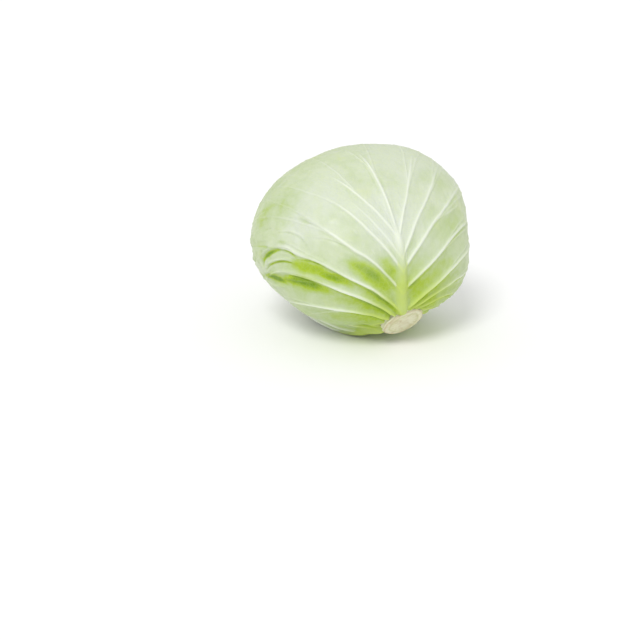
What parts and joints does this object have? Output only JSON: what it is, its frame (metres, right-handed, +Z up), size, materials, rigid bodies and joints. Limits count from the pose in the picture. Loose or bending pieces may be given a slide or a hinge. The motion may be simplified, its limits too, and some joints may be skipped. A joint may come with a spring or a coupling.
{
  "type": "cabbage head",
  "caption": "Whole head of green cabbage, lying on its side, with overlapping ribbed wrapper leaves round a dense heart and a short cut stem.",
  "frame": {"origin": "middle of the small flat spot on the underside that the head rests on", "axes": "+Z up, -Y to the front, where the outermost leaf and its midrib face; +X to the right, the head's widest direction. The cut stem points to the front right and downwards, the crown to the back left and upwards"},
  "size_m": [0.1667, 0.1576, 0.1384],
  "materials": {
    "outer_leaf": "pale waxy green leaf with near-white veins, satin",
    "inner_leaf": "pale yellow-green leaf, satin",
    "heart": "tightly packed cream and pale green leaves, satin",
    "stem": "cut stem, cream and matte, slightly dried"
  },
  "bodies": {
    "root": {"leaf_1": "outer_leaf", "leaf_2": "outer_leaf", "leaf_3": "outer_leaf", "leaf_4": "inner_leaf", "leaf_5": "inner_leaf", "leaf_6": "inner_leaf", "leaf_7": "inner_leaf", "heart": "heart", "stem": "stem"}
  },
  "joints": []
}
